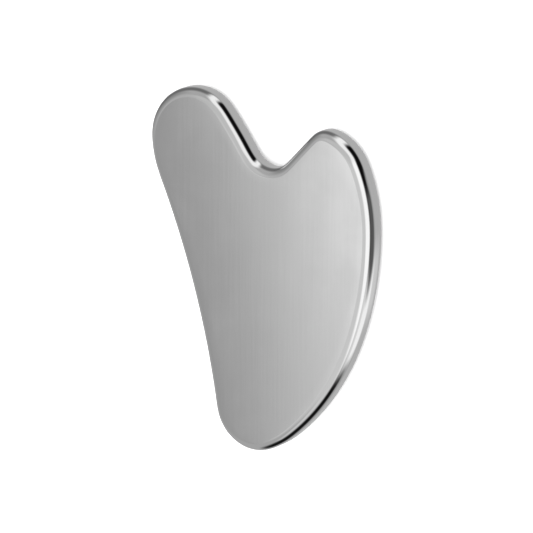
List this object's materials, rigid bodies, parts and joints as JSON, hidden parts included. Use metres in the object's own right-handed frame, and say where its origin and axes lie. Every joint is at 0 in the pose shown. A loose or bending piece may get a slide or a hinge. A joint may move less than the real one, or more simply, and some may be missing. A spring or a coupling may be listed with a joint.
{
  "type": "gua sha scraper",
  "caption": "Solid polished steel massage plate with a long lobe and a short lobe either side of a notch, a full belly, a rounded tip and soft edges.",
  "frame": {"origin": "centre of the plate's outline box, on the back face that it lies on", "axes": "+Z out of the front face, +Y along the length towards the two lobes, +X towards the full belly"},
  "size_m": [0.061, 0.084, 0.006],
  "materials": {
    "polished_steel": "mirror-polished solid stainless steel"
  },
  "bodies": {
    "root": {"scraper_plate": "polished_steel"}
  },
  "joints": []
}
